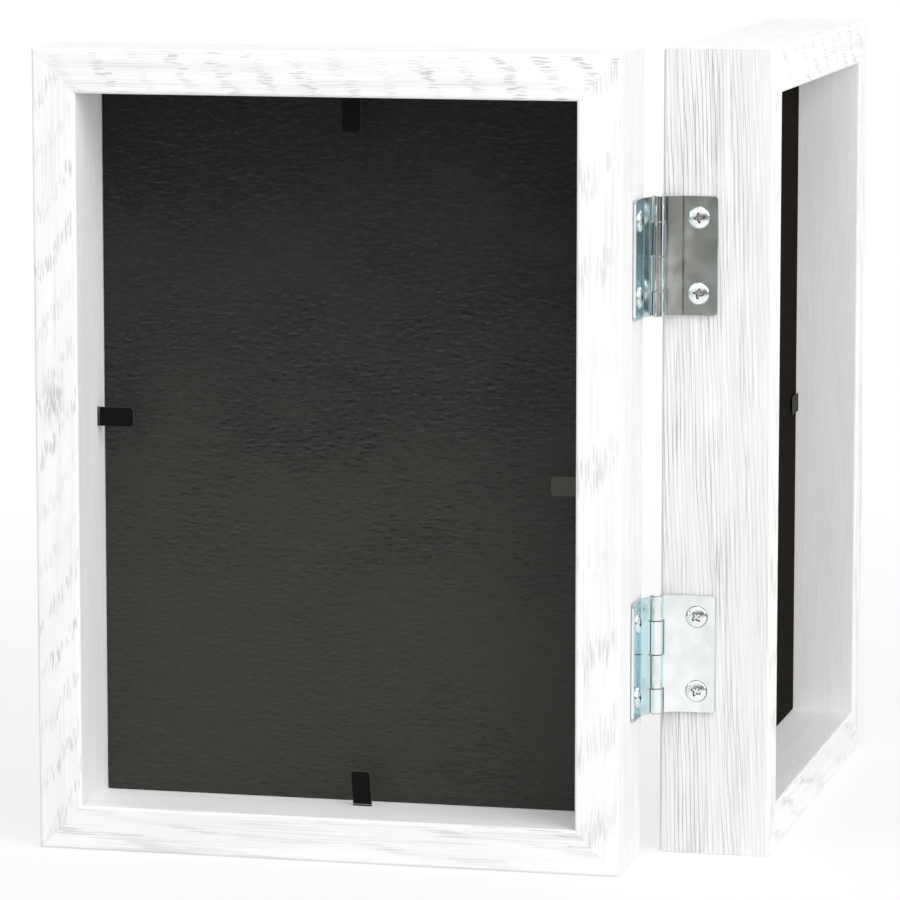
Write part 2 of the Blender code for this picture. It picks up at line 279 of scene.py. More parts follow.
def set_surface(tree, shader, colour, rough, height, distance, strength=1.0, gloss=0.5):
    """Joins a colour, a roughness and a fine relief to a surface. distance is the relief's depth."""
    shader.inputs["Specular IOR Level"].default_value = gloss
    tree.links.new(colour, shader.inputs["Base Color"])
    tree.links.new(rough, shader.inputs["Roughness"])
    bump = add_node(tree, "ShaderNodeBump", {"Height": height, "Distance": distance, "Strength": strength})
    tree.links.new(bump.outputs[0], shader.inputs["Normal"])


# Wood

wood_base = (0.935, 0.935, 0.931, 1)
wood_shade = (0.800, 0.803, 0.800, 1)
wood_line = (0.39, 0.385, 0.375, 1)

# Where the sides end and the rear face begins, as a share of that face's place
rear_start = 0.992


def near_knot(tree, place, knot):
    """One in the middle of a knot, falling to nothing round it."""
    off = stretch(tree, with_places(tree, "SUBTRACT", place, knot)[0], (0.016, 0.007, 1.0))
    off = with_places(tree, "LENGTH", off)["Value"]
    return soften(tree, off, 0.15, 1.0, 1.0, 0.0)


def ring_bands(tree, place, ring_tilt, waviness, knot, low, high):
    """How open the wood is at a place: bands, one for each year ring and some of them weak.

    ring_tilt gives rings per metre along, across and into the moulding. The rings bend round a knot.
    The bands are narrower the higher low and high are.
    """
    sway = minus(tree, grain_noise(tree, place, (0.120, 0.026, 0.026)), 0.5)
    ripple = minus(tree, grain_noise(tree, place, (0.034, 0.005, 0.005)), 0.5)
    sway = times(tree, sway, 3.0 * waviness)
    ripple = times(tree, ripple, waviness)
    level = with_places(tree, "DOT_PRODUCT", place, ring_tilt)["Value"]
    rings = plus(tree, plus(tree, level, sway), ripple)
    near = 0.0
    if knot:
        near = near_knot(tree, place, knot)
        rings = plus(tree, rings, times(tree, near, 2.6))
    wave = calculate(tree, "SINE", times(tree, rings, 2 * math.pi))
    number = calculate(tree, "FLOOR", plus(tree, rings, 0.25))
    luck = add_node(tree, "ShaderNodeTexWhiteNoise", {"W": number}, noise_dimensions="1D").outputs["Value"]
    luck = soften(tree, luck, 0.0, 0.6, 0.45, 1.0)
    band = times(tree, soften(tree, wave, low, high), luck)
    return calculate(tree, "MAXIMUM", band, near)


def pore_dashes(tree, place, length, spacing):
    """Pores as thin spindles along the grain, and for each place the middle of the nearest one.

    The middle is given at the place's own depth, so that a pore has one shade over its whole length.
    """
    sizes = (length, spacing, spacing)
    inputs = {"Vector": stretch(tree, place, sizes), "Scale": 1.0}
    cells = add_node(tree, "ShaderNodeTexVoronoi", inputs).outputs
    dashes = soften(tree, cells["Distance"], 0.37, 0.55, 1.0, 0.0)
    nearest = split(tree, with_places(tree, "MULTIPLY", cells["Position"], sizes)[0])
    own = split(tree, place)
    inputs = {"X": nearest["X"], "Y": nearest["Y"], "Z": own["Z"]}
    return dashes, add_node(tree, "ShaderNodeCombineXYZ", inputs).outputs[0]


def open_pores(tree, place, ring_tilt, waviness, pore_length, fill, knot):
    """How open the pores are under the wash: short ones in bands, long thin ones, and close lines."""
    dashes, middle = pore_dashes(tree, place, pore_length, 0.00054)
    dashes = times(tree, dashes, ring_bands(tree, middle, ring_tilt, waviness, knot, 0.35, 0.75))
    threads, middle = pore_dashes(tree, place, 0.048, 0.00060)
    where = soften(tree, grain_noise(tree, middle, (0.090, 0.0045, 0.0045), 2.0), 0.50, 0.62, 0.0, 0.45)
    threads = times(tree, threads, where)
    lines = times(tree, ring_bands(tree, place, ring_tilt, waviness, knot, 0.62, 0.98), fill)
    pores = calculate(tree, "MAXIMUM", calculate(tree, "MAXIMUM", dashes, threads), lines)
    cover = soften(tree, grain_noise(tree, place, (0.045, 0.009, 0.009), 3.0), 0.36, 0.62, 0.40, 1.0)
    return times(tree, pores, cover)


def wash_streaks_and_side_shade(tree, place, across, wash_and_shade):
    """Streaks of thin wash and painted shade, up to the first of the two given places across, by the share
    given after them.
    """
    thin = soften(tree, across, *wash_and_shade, 0.0)
    streak = soften(tree, grain_noise(tree, place, (0.080, 0.0035, 0.0035), 2.0), 0.38, 0.62, 0.5, 0.8)
    fuzz = grain_noise(tree, place, (0.030, 0.00050, 0.00050), 3.0)
    streak = plus(tree, streak, soften(tree, fuzz, 0.40, 0.62, -0.25, 0.25))
    return times(tree, thin, streak)


def knot_smudges(tree, place, knot):
    smudge = soften(tree, grain_noise(tree, place, (0.0040, 0.0016, 0.0016), 3.0), 0.34, 0.60)
    return times(tree, times(tree, smudge, near_knot(tree, place, knot)), 1.6)


def make_wood(name, axes, shift, ring_tilt, waviness, pore_length, fill, line_strength, greyness, sides,
              rear, wash_and_shade, fades, knot):
    """Whitewashed open-grained wood. axes are the object's axes along, across and into the moulding.

    Year rings are planes that lie almost level with the rear face, so that it cuts them in slanting
    bands of short pores, while the sides show them as close lines, as strong as sides says. Each of the
    fades gives two places into the moulding, and the share of the pores left open at the second.
    """
    made, tree, shader = new_material(name)
    parts = split(tree, own_place(tree))
    order = {socket: parts[axis] for socket, axis in zip("XYZ", axes)}
    ordered = add_node(tree, "ShaderNodeCombineXYZ", order).outputs[0]
    place = with_places(tree, "ADD", ordered, shift)[0]
    if knot:
        knot = tuple(a + b for a, b in zip(knot, shift))

    pores = open_pores(tree, place, ring_tilt, waviness, pore_length, fill, knot)
    for start, end, share in fades:
        pores = times(tree, pores, soften(tree, parts[axes[2]], start, end, 1.0, share))
    pores = times(tree, pores, soften(tree, parts[axes[2]], rear * rear_start, rear, sides, 1.0))

    cloud = soften(tree, grain_noise(tree, place, (0.060, 0.006, 0.006), 3.0), 0.30, 0.75)
    fibre = grain_noise(tree, place, (0.018, 0.00034, 0.00034), 2.0)
    fibre = soften(tree, fibre, 0.42, 0.66, 0.0, 0.6)
    dull = times(tree, plus(tree, cloud, fibre), greyness)
    # Greyer sides beside the hinges: streaky thin wash, and painted shade
    if wash_and_shade:
        dull = plus(tree, dull, wash_streaks_and_side_shade(tree, place, parts[axes[1]], wash_and_shade))
    if knot:
        dull = plus(tree, dull, knot_smudges(tree, place, knot))
    paint = mix_colours(tree, dull, wood_base, wood_shade)
    colour = mix_colours(tree, times(tree, pores, line_strength), paint, wood_line)
    rough = soften(tree, plus(tree, pores, fibre), 0.0, 1.3, 0.50, 0.80)
    height = minus(tree, times(tree, fibre, 0.35), pores)
    set_surface(tree, shader, colour, rough, height, 0.00010, 0.55, 0.35)
    return made


# Board, paper, glazing and tabs

board_black = (0.0110, 0.0110, 0.0098, 1)
board_low_tone = (0.0370, 0.0370, 0.0330, 1)
# A darker, browner copy of the board's colours, painted shade for the left frame's board and spacer
shaded_board_black = (0.0084, 0.0062, 0.0042, 1)
shaded_board_low_tone = (0.0118, 0.0088, 0.0060, 1)
# Paler tone for bright specks and for the painted highlights on the creases and folds
board_specks_and_painted_highlight = (0.060, 0.061, 0.058, 1)
# Painted shade on the shaded sides of the creases
crease_painted_shade = (0.003, 0.003, 0.003, 1)
crease_size = (0.0044, 0.0044, 0.0015)
crease_side = 0.0007


def crease_sides(tree, height, patches):
    """The lit and the shaded sides of short level creases, strongest halfway up the board.

    They are painted, because the soft light hardly shows relief as fine as this.
    """
    levels = []
    for rise in (0, crease_side):
        levels.append(grain_noise(tree, own_place(tree, (0, 0, rise)), crease_size, 2.0))
    slope = minus(tree, *levels)
    depth = times(tree, patches, soften(tree, height, 0.260, 0.205, 0.5, 1.0))
    depth = times(tree, depth, soften(tree, height, 0.100, 0.150, 0.5, 1.0))
    lit = times(tree, depth, soften(tree, slope, 0.07, 0.24, 0.0, 0.6))
    shaded = times(tree, depth, soften(tree, slope, -0.07, -0.24, 0.0, 0.8))
    return lit, shaded


def make_board_material(name, black, low_tone, shine):
    """Matte black board with fine level creases, paler towards its foot.

    The creases and folds carry painted highlight and painted shade. shine scales its gloss and how strongly
    that painted light and shade show.
    """
    made, tree, shader = new_material(name)
    place = own_place(tree)
    broad = grain_noise(tree, place, (0.060, 0.060, 0.045), 3.0)
    creases = grain_noise(tree, place, (0.0032, 0.0032, 0.0010), 3.0, 0.65)
    folds = grain_noise(tree, place, (0.016, 0.016, 0.0030), 2.0)
    off_fold = calculate(tree, "ABSOLUTE", minus(tree, folds, 0.5))
    fold_lines = soften(tree, off_fold, 0.0, 0.012, 1.0, 0.0)
    where = soften(tree, broad, 0.50, 0.68)
    fold_lines = times(tree, fold_lines, where)
    specks = soften(tree, grain_noise(tree, place, (0.0010, 0.0010, 0.0007), 0.0), 0.70, 0.78)
    specks = times(tree, specks, where)
    # Painted highlights on the creases and folds, and bright specks
    light = times(tree, soften(tree, creases, 0.48, 0.68), 0.15)
    light = plus(tree, light, times(tree, fold_lines, 0.22))
    light = plus(tree, light, times(tree, specks, 0.4))
    height = split(tree, place)["Z"]
    lit, shaded = crease_sides(tree, height, soften(tree, broad, 0.34, 0.62, 0.3, 1.0))
    light = plus(tree, light, lit)
    uneven = times(tree, minus(tree, broad, 0.5), 0.14)
    lowness = soften(tree, plus(tree, height, uneven), 0.315, 0.080)
    ground = mix_colours(tree, lowness, black, low_tone)
    colour = mix_colours(tree, times(tree, light, shine), ground, board_specks_and_painted_highlight)
    colour = mix_colours(tree, times(tree, shaded, shine), colour, crease_painted_shade)
    rough = soften(tree, creases, 0.3, 0.7, 0.80, 0.66)
    relief = plus(tree, creases, times(tree, folds, 0.8))
    relief = minus(tree, relief, times(tree, fold_lines, 0.7))
    set_surface(tree, shader, colour, rough, relief, 0.00070, 1.0, 0.20 * shine)
    return made


def make_paper_material():
    """The bare sheet in the picture place: off-white with faint fibres."""
    made, tree, shader = new_material("blank_sheet_fibres")
    place = own_place(tree)
    fibres = soften(tree, grain_noise(tree, place, (0.0030, 0.0030, 0.0008), 4.0, 0.65), 0.35, 0.72)
    cloud = grain_noise(tree, place, (0.040, 0.040, 0.040), 2.0)
    share = times(tree, plus(tree, fibres, cloud), 0.5)
    colour = mix_colours(tree, share, (0.80, 0.79, 0.76, 1), (0.87, 0.865, 0.84, 1))
    rough = soften(tree, fibres, 0.0, 1.0, 0.75, 0.88)
    set_surface(tree, shader, colour, rough, fibres, 0.00004, 0.5)
    return made


def make_glazing_material():
    """Clear glazing, with the faintest unevenness in its polish."""
    made, tree, shader = new_material("clear_glazing_polished")
    place = own_place(tree)
    haze = grain_noise(tree, place, (0.030, 0.030, 0.030), 3.0)
    colour = mix_colours(tree, haze, (0.97, 0.985, 0.98, 1), (0.99, 0.995, 0.99, 1))
    rough = soften(tree, haze, 0.3, 0.7, 0.01, 0.04)
    set_surface(tree, shader, colour, rough, haze, 0.00001, 0.5)
    shader.inputs["Transmission Weight"].default_value = 1.0
    shader.inputs["IOR"].default_value = 1.49
    return made


tab_black = (0.0040, 0.0040, 0.0036, 1)
tab_worn = (0.0090, 0.0085, 0.0075, 1)
# A lighter copy of the tab paint: painted light for the tongue beside the right hinge
tab_painted_light = (0.0700, 0.0700, 0.0575, 1)
tab_painted_light_worn = (0.0950, 0.0950, 0.0790, 1)
tab_cut = (0.10, 0.10, 0.09, 1)
tab_cut_worn = (0.20, 0.195, 0.18, 1)


def make_tab_material(name, colour, worn, roughness):
    """Black-painted spring steel: faint drawn marks, and a worn edge where it was cut."""
    made, tree, shader = new_material(name)
    marks = grain_noise(tree, own_place(tree), (0.0024, 0.0024, 0.0024), 4.0, 0.6)
    wear = soften(tree, marks, 0.50, 0.78, 0.0, 0.7)
    rough = soften(tree, marks, 0.3, 0.7, roughness, roughness + 0.15)
    set_surface(tree, shader, mix_colours(tree, wear, colour, worn), rough, marks, 0.00002, 0.5, 0.08)
    return made


def make_painted_nail_material():
    """The wash over the one V-nail that shows, a little greyer than on the wood."""
    made, tree, shader = new_material("washed_nail")
    marks = grain_noise(tree, own_place(tree), (0.0016, 0.0016, 0.0016), 3.0)
    colour = mix_colours(tree, soften(tree, marks, 0.35, 0.7), (0.86, 0.86, 0.855, 1), (0.72, 0.72, 0.71, 1))
    rough = soften(tree, marks, 0.3, 0.7, 0.5, 0.7)
    set_surface(tree, shader, colour, rough, marks, 0.00003, 0.5)
    return made


# Metal

def make_metal(name, colour, dull, slanting, edge_tint, roughness, haze, waviness, cell):
    """Plated metal: cloudy plating with hazy patches, and a surface that is not quite flat.

    slanting is the tint that the thin clear coat of the plating takes where it is seen at a slant.
    """
    made, tree, shader = new_material(name)
    place = own_place(tree)
    cloud = grain_noise(tree, place, (cell, cell, cell), 3.0, 0.55)
    grit = grain_noise(tree, place, (0.0005, 0.0005, 0.0005), 2.0)
    wave = grain_noise(tree, place, (0.012, 0.012, 0.014), 1.0)
    shade = mix_colours(tree, soften(tree, cloud, 0.35, 0.72), colour, dull)
    facing = add_node(tree, "ShaderNodeLayerWeight", {"Blend": 0.5}).outputs["Facing"]
    shade = mix_colours(tree, soften(tree, facing, 0.12, 0.42), shade, slanting)
    blend = plus(tree, times(tree, cloud, 0.8), times(tree, grit, 0.2))
    polish = soften(tree, blend, 0.3, 0.7, roughness, roughness + 0.10)
    patches = grain_noise(tree, own_place(tree, (0.7, 0.4, 0.2)), (0.014, 0.014, 0.018), 2.0)
    polish = plus(tree, polish, soften(tree, patches, 0.42, 0.70, 0.0, haze))
    height = plus(tree, times(tree, wave, waviness), times(tree, grit, 0.02))
    set_surface(tree, shader, shade, polish, height, 0.0001)
    shader.inputs["Metallic"].default_value = 1.0
    shader.inputs["Specular Tint"].default_value = edge_tint
    return made


zinc = (0.955, 0.98, 0.975, 1)
zinc_dull = (0.90, 0.93, 0.925, 1)
zinc_slanting = (0.80, 0.91, 0.925, 1)
zinc_edge = (0.66, 0.84, 0.88, 1)
# The leaves' cut edges: darker partly as bare steel and partly as painted shade for the contact shadow along
# the edges and in the notches
cut_zinc_and_shade = (0.58, 0.60, 0.60, 1)
cut_zinc_and_shade_dull = (0.36, 0.37, 0.37, 1)
screw_slanting = (0.84, 0.91, 0.92, 1)
white = (1, 1, 1, 1)
# Painted shade for the walls of the screws' cross recesses
recess_shade = (0.10, 0.10, 0.10, 1)
recess_shade_deep = (0.03, 0.03, 0.03, 1)
steel = (0.42, 0.42, 0.42, 1)
steel_dull = (0.30, 0.29, 0.28, 1)


# Shapes

def rounded(corners, steps):
    """An outline with round corners: each corner is (x, y, radius), and radius 0 leaves it sharp."""
    points = []
    for i, (x, y, radius) in enumerate(corners):
        here = Vector((x, y))
        if radius == 0:
            points.append((x, y))
            continue
        before = (Vector(corners[i - 1][:2]) - here).normalized()
        after = (Vector(corners[(i + 1) % len(corners)][:2]) - here).normalized()
        half = before.angle(after) / 2
        centre = here + (before + after).normalized() * (radius / math.sin(half))
        start = here + before * (radius / math.tan(half)) - centre
        turn = math.pi - 2 * half
        if start.x * after.y - start.y * after.x < 0:
            turn = -turn
        for step in range(steps + 1):
            angle = turn * step / steps
            turned_x = centre.x + start.x * math.cos(angle) - start.y * math.sin(angle)
            turned_y = centre.y + start.x * math.sin(angle) + start.y * math.cos(angle)
            points.append((turned_x, turned_y))
    return points


def join_rims(mesh, first, second):
    """The faces between two closed rows of points, in their order."""
    faces = []
    for i in range(len(first)):
        following = (i + 1) % len(first)
        faces.append(mesh.faces.new((first[i], first[following], second[following], second[i])))
    return faces


def fill_grid(mesh, grid):
    """The faces between rows of points."""
    for row, following in zip(grid, grid[1:]):
        for i in range(len(row) - 1):
            mesh.faces.new((row[i], row[i + 1], following[i + 1], following[i]))


def rim_of(grid):
    """What lies round the edge of a grid, in order."""
    rim = grid[0] + [row[-1] for row in grid[1:]] + list(reversed(grid[-1][:-1]))
    return rim + [row[0] for row in reversed(grid[1:-1])]


def add_prism(mesh, outline, lower, upper):
    """A closed prism: lower and upper turn each outline point into the corners of its two ends."""
    low = [mesh.verts.new(lower(*point)) for point in outline]
    high = [mesh.verts.new(upper(*point)) for point in outline]
    mesh.faces.new(low)
    mesh.faces.new(high)
    join_rims(mesh, low, high)


def add_turned(mesh, profile, sides, place):
    """A turned solid: profile runs (radius, height) from axis to axis, place maps (x, y, height)."""
    rings = []
    for radius, height in profile:
        if radius == 0:
            rings.append([mesh.verts.new(place(0, 0, height))])
            continue
        turns = [2 * math.pi * step / sides for step in range(sides)]
        points = [(radius * math.cos(turn), radius * math.sin(turn)) for turn in turns]
        rings.append([mesh.verts.new(place(x, y, height)) for x, y in points])
    for ring, following in zip(rings, rings[1:]):
        for i in range(sides):
            corners = (
                ring[i % len(ring)],
                ring[(i + 1) % len(ring)],
                following[(i + 1) % len(following)],
                following[i % len(following)],
            )
            mesh.faces.new(list(dict.fromkeys(corners)))


def add_object(name, data):
    made = bpy.data.objects.new(name, data)
    bpy.context.scene.collection.objects.link(made)
    return made


def make_object(name, mesh, materials):
    """An object from a bmesh whose faces are turned outwards first."""
    bmesh.ops.recalc_face_normals(mesh, faces=mesh.faces)
    data = bpy.data.meshes.new(name)
    mesh.to_mesh(data)
    mesh.free()
    for material in materials:
        data.materials.append(material)
    return add_object(name, data)


def smooth(piece, degrees=32):
    piece.data.shade_smooth()
    piece.data.set_sharp_from_angle(angle=math.radians(degrees))


def soften_edges(piece, width, degrees, finish=-1):
    """Rounds the edges that turn by more than degrees. finish is the material number of the new faces."""
    modifier = piece.modifiers.new("edges", "BEVEL")
    modifier.width = width
    modifier.segments = 2
    modifier.limit_method = "ANGLE"
    modifier.angle_limit = math.radians(degrees)
    modifier.harden_normals = True
    modifier.material = finish


def even_normals(piece):
    """Keeps large flat faces flat beside the round edges that they run into."""
    smooth(piece)
    modifier = piece.modifiers.new("normals", "WEIGHTED_NORMAL")
    modifier.keep_sharp = True
    modifier.weight = 100
    settle(piece)


def carve(piece, meshes):
    """Cuts each mesh out of the piece. The cut faces keep the mesh's material number."""
    for mesh in meshes:
        cutter = make_object("cutter", mesh, piece.data.materials)
        modifier = piece.modifiers.new("cut", "BOOLEAN")
        modifier.operation = "DIFFERENCE"
        modifier.solver = "EXACT"
        modifier.object = cutter
        settle(piece)
        bpy.data.objects.remove(cutter)


def settle(piece):
    """Turns a piece's modifiers into its mesh."""
    graph = bpy.context.evaluated_depsgraph_get()
    data = bpy.data.meshes.new_from_object(
        piece.evaluated_get(graph), preserve_all_data_layers=True, depsgraph=graph
    )
    piece.modifiers.clear()
    piece.data = data


def stand_for(piece, node, body):
    """The piece takes the place of a node of the model and moves with its body."""
    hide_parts(node)
    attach(piece, body)
    return piece


# The moulding

def moulding_profile():
    """The moulding's section: distance inwards from the outer face, and depth from the front."""
    inner = border + lip_width
    corners = (
        (0, 0, edge_round),
        (inner, 0, edge_round),
        (inner, lip_thickness, edge_round / 2),
        (border, lip_thickness, 0),
        (border, frame_depth, edge_round),
        (0, frame_depth, edge_round),
    )
    return rounded(corners, round_steps)


def make_rail(name, side, place, wood, nails):
    """One mitred length of moulding. nails are the unfilled slots that cross its ends."""
    to_frame = wall_frame(side)
    length = frame_width if side in ("top", "bottom") else frame_height
    mesh = bmesh.new()
    add_prism(
        mesh,
        moulding_profile(),
        lambda inward, depth: place(*to_frame(inward + mitre_joint, inward, depth)),
        lambda inward, depth: place(*to_frame(length - inward - mitre_joint, inward, depth)),
    )
    rail = make_object(name, mesh, (wood,))
    carve(rail, nails)
    even_normals(rail)
    return rail


def nail_slot(place):
    """The slot of the V-nail across the lower mitre beside the hinge."""
    inner = border - nail_inset
    near = inner - nail_thickness / 2 - nail_clearance
    far = inner + nail_thickness / 2 + nail_clearance
    tip = inner + nail_arm + nail_clearance
    outline = ((near, near), (tip, near), (tip, far), (far, far), (far, tip), (near, tip))
    mesh = bmesh.new()
    add_prism(
        mesh,
        outline,
        lambda u, z: place(u, frame_depth - nail_depth, z),
        lambda u, z: place(u, frame_depth + overrun, z),
    )
    return mesh


# Hinges

def leaf_profile():
    """The section of a leaf: q along the leaf from the axis, p from the axis towards the wood."""
    plate_back = plate_face + leaf_thickness
    slope = math.atan(crank_height / (crank_end - crank_start))
    lean = leaf_thickness / 2 * math.tan(slope / 2)
    end = math.acos(bore_radius / barrel_radius) + roll_gap / barrel_radius
    turns = [-(2 * math.pi - end) * step / roll_steps for step in range(roll_steps + 1)]
    outer = [(barrel_radius * math.sin(t), barrel_radius * math.cos(t), 0) for t in turns]
    inner = [(bore_radius * math.sin(t), bore_radius * math.cos(t), 0) for t in reversed(turns)]
    corners = (
        (leaf_width, plate_back, 0),
        (crank_end - lean, plate_back, crank_bend + leaf_thickness),
        (crank_start + lean, barrel_radius, crank_bend),
        *outer,
        *inner,
        (crank_start - lean, bore_radius, crank_bend + leaf_thickness),
        (crank_end + lean, plate_face, crank_bend),
        (leaf_width, plate_face, 0),
    )
    return rounded(corners, round_steps)


def screw_heights(centre):
    from_centre = hinge_length / 2 - screw_from_end
    return {"bottom": centre - from_centre, "top": centre + from_centre}


def knuckle_spans(centre):
    """Lowest and highest point of each knuckle, from the top down."""
    spans = []
    top = centre + hinge_length / 2
    for share in knuckle_shares:
        spans.append((top - share * hinge_length, top))
        top -= share * hinge_length
    return spans


def screw_placing(height, place, turn=0.0):
    """Maps a screw's own (x, y, depth) into the model: depth runs into the wood from the plate."""

    def placed(x, y, depth):
        along = x * math.cos(turn) - y * math.sin(turn)
        up = x * math.sin(turn) + y * math.cos(turn)
        return place(plate_face + depth - side_stand, screw_from_axis + along - front_stand, height + up)

    return placed


def leaf_notches(centre, own, at):
    """Cutters for the room round the other leaf's knuckles. at turns (q, p, height) into a point."""
    notches = []
    for i, (bottom, top) in enumerate(knuckle_spans(centre)):
        if i in own:
            continue
        margin = barrel_radius + notch_clearances[i]
        below = overrun if i == len(knuckle_shares) - 1 else knuckle_gap / 2
        above = overrun if i == 0 else knuckle_gap / 2
        outline = [(x * margin, y * margin) for x, y in square]
        notch = bmesh.new()
        add_prism(notch, outline, lambda q, p: at(q, p, bottom - below), lambda q, p: at(q, p, top + above))
        for face in notch.faces:
            face.material_index = 1
        notches.append(notch)
    return notches


def leaf_holes(centre, place):
    """Cutters for the countersunk holes of a leaf's two screws."""
    neck = screw_cone_radius + fit_gap
    mouth = screw_head_radius + fit_gap
    profile = [(0, cone_end), (neck, cone_end), (neck, screw_cone_depth)]
    profile += [(mouth, 0), (mouth, -overrun), (0, -overrun)]
    holes = []
    for height in screw_heights(centre).values():
        hole = bmesh.new()
        add_turned(hole, profile, screw_sides, screw_placing(height, place))
        holes.append(hole)
    return holes


def make_leaf(name, centre, own, place, metals):
    """A leaf rolled round the pin at its own knuckles, with notches for the other leaf's and two holes."""
    low = centre - hinge_length / 2
    high = centre + hinge_length / 2

    def at(q, p, z):
        return place(p - side_stand, q - front_stand, z)

    mesh = bmesh.new()
    add_prism(mesh, leaf_profile(), lambda q, p: at(q, p, low), lambda q, p: at(q, p, high))
    free_corners = []
    for z in (low, high):
        middle = at(leaf_width, plate_face + leaf_thickness / 2, z)
        free_corners.append(
            min(mesh.edges, key=lambda edge: ((edge.verts[0].co + edge.verts[1].co) / 2 - middle).length)
        )
    bmesh.ops.bevel(
        mesh, geom=free_corners, offset=leaf_corner, segments=round_steps, affect="EDGES", profile=0.5
    )
    # Ends, notches and rounded edges take the cut-edge finish, which carries painted shade
    for face in mesh.faces:
        face.material_index = 1 if abs(face.normal.z) > 0.1 else 0
    leaf = make_object(name, mesh, metals)
    carve(leaf, leaf_notches(centre, own, at) + leaf_holes(centre, place))
    leaf.data.shade_smooth()
    soften_edges(leaf, leaf_edge, 30, 1)
    settle(leaf)
    return leaf


def make_pin(name, centre, metal):
    """The hinge pin, with its two ends peened round over the outer knuckles."""
    head = []
    for step in range(round_steps + 1):
        angle = math.pi / 2 * step / round_steps
        rise = pin_head_height * math.sin(angle)
        head.append((pin_head_radius - pin_head_round + pin_head_round * math.cos(angle), rise))
    low = centre - hinge_length / 2 - fit_gap
    high = centre + hinge_length / 2 + fit_gap
    profile = [(0, low - pin_head_height)]
    profile += [(radius, low - rise) for radius, rise in reversed(head)]
    profile += [(pin_radius, low), (pin_radius, high)]
    profile += [(radius, high + rise) for radius, rise in head]
    profile.append((0, high + pin_head_height))
    mesh = bmesh.new()
    add_turned(mesh, profile, screw_sides // 2, lambda x, y, z: hinge_axis + Vector((x, y, z)))
    pin = make_object(name, mesh, (metal,))
    smooth(pin)
    return pin


def screw_profile():
    """Half the section of a screw: tip, threaded shank, cone, rim and raised head."""
    points = [(0, screw_length), (screw_shank_radius * 0.35, screw_length - screw_tip * 0.35)]
    depth = screw_length - screw_tip
    while depth - thread_pitch > cone_end:
        points.append((screw_shank_radius, depth))
        for share in thread_root:
            points.append((screw_shank_radius - thread_depth, depth - thread_pitch * share))
        depth -= thread_pitch
    points += [(screw_shank_radius, depth), (screw_shank_radius, screw_cone_depth)]
    points += [(screw_cone_radius, screw_cone_depth), (screw_head_radius, 0)]
    dome_radius = (screw_head_radius**2 + screw_dome**2) / (2 * screw_dome)
    span = math.asin(screw_head_radius / dome_radius)
    points.append((screw_head_radius, -screw_rim + screw_edge))
    points.append((screw_head_radius - screw_edge * 0.3, -screw_rim + screw_edge * 0.3))
    steps = 3 * round_steps
    for step in range(1, steps):
        angle = span * (1 - step / steps)
        rise = dome_radius * (math.cos(angle) - math.cos(span))
        points.append((dome_radius * math.sin(angle), -screw_rim - rise))
    points.append((0, -screw_rim - screw_dome))
    return points


def cross_outline(arm, half):
    """A cross with four round-ended arms."""
    tip = half * 0.9
    quarter = ((arm, -half, tip), (arm, half, tip), (half, half, half * 0.35))
    corners = []
    for turn in range(4):
        for x, y, radius in quarter:
            for _ in range(turn):
                x, y = -y, x
            corners.append((x, y, radius))
    return rounded(corners, round_steps // 2)


def make_screw(name, height, place, metals):
    """A raised countersunk screw with a cross recess that narrows as it goes in."""
    to_model = screw_placing(height, place, math.radians(screw_turns[name]))
    mesh = bmesh.new()
    add_turned(mesh, screw_profile(), screw_sides, to_model)
    screw = make_object(name + "_fine", mesh, metals)

    top = -screw_rim - screw_dome
    wide = cross_outline(recess_arm, recess_width / 2)
    narrow = cross_outline(recess_floor_arm, recess_floor_half)
    cross = bmesh.new()
    levels = [
        [cross.verts.new(to_model(x, y, top - recess_overrun)) for x, y in wide],
        [cross.verts.new(to_model(x, y, top + recess_straight)) for x, y in wide],
        [cross.verts.new(to_model(x, y, top + recess_depth)) for x, y in narrow],
    ]
    cross.faces.new(levels[0])
    floor = cross.faces.new(levels[-1])
    for lower, upper in zip(levels, levels[1:]):
        join_rims(cross, lower, upper)
    # The recess walls take the painted shade, and the floor keeps the plain zinc
    for face in cross.faces:
        face.material_index = 0 if face == floor else 1
    carve(screw, (cross,))
    smooth(screw, 30)
    return screw


# Tabs

def tab_middle(side, offsets):
    if side in ("top", "bottom"):
        return frame_width / 2 - offsets[side]
    return frame_height / 2 + offsets[side]


def make_tongue(name, side, offsets, lift, place, materials):
    """A tongue of thin spring steel that curls up a little at its free end."""
    to_frame = wall_frame(side)
    middle = tab_middle(side, offsets)
    bend = border + tab_axis_stand
    axis_point = place(*to_frame(middle, bend, tab_plane))
    across = (place(*to_frame(middle + tab_width, bend, tab_plane)) - axis_point).normalized()
    inwards = (place(*to_frame(middle, bend + tab_width, tab_plane)) - axis_point).normalized()
    up = (place(*to_frame(middle, bend, tab_plane + tab_width)) - axis_point).normalized()
    turn = Matrix.Rotation(lift, 3, inwards.cross(up).normalized())
    half = tab_width / 2
    rows = 24
    columns = 12
    crowding = 1.6
    curl_growth = 2.2

    def outline_half(y):
        into = max(0.0, y - (tab_length - tab_corner))
        return half - tab_corner + math.sqrt(max(0.0, tab_corner**2 - into**2))

    def corner(x_share, y_share, rise):
        y = tab_length * (1 - (1 - y_share) ** crowding)
        x = outline_half(y) * x_share
        curl = tongue_curl * (y / tab_length) ** curl_growth + tongue_crown * (x / half) ** 2
        return axis_point + turn @ (across * x + inwards * y + up * (rise + curl))

    mesh = bmesh.new()
    sheets = []
    for rise in (-tab_thickness / 2, tab_thickness / 2):
        sheet = []
        for row in range(rows + 1):
            line = [corner(2 * column / columns - 1, row / rows, rise) for column in range(columns + 1)]
            sheet.append([mesh.verts.new(point) for point in line])
        sheets.append(sheet)
        fill_grid(mesh, sheet)
    for i, face in enumerate(join_rims(mesh, rim_of(sheets[0]), rim_of(sheets[1]))):
        face.material_index = 0 if i < columns else 1
    tongue = make_object(name, mesh, materials)
    tongue.data.shade_smooth()
    soften_edges(tongue, tongue_edge, 50)
    settle(tongue)
    return tongue


# Backing boards

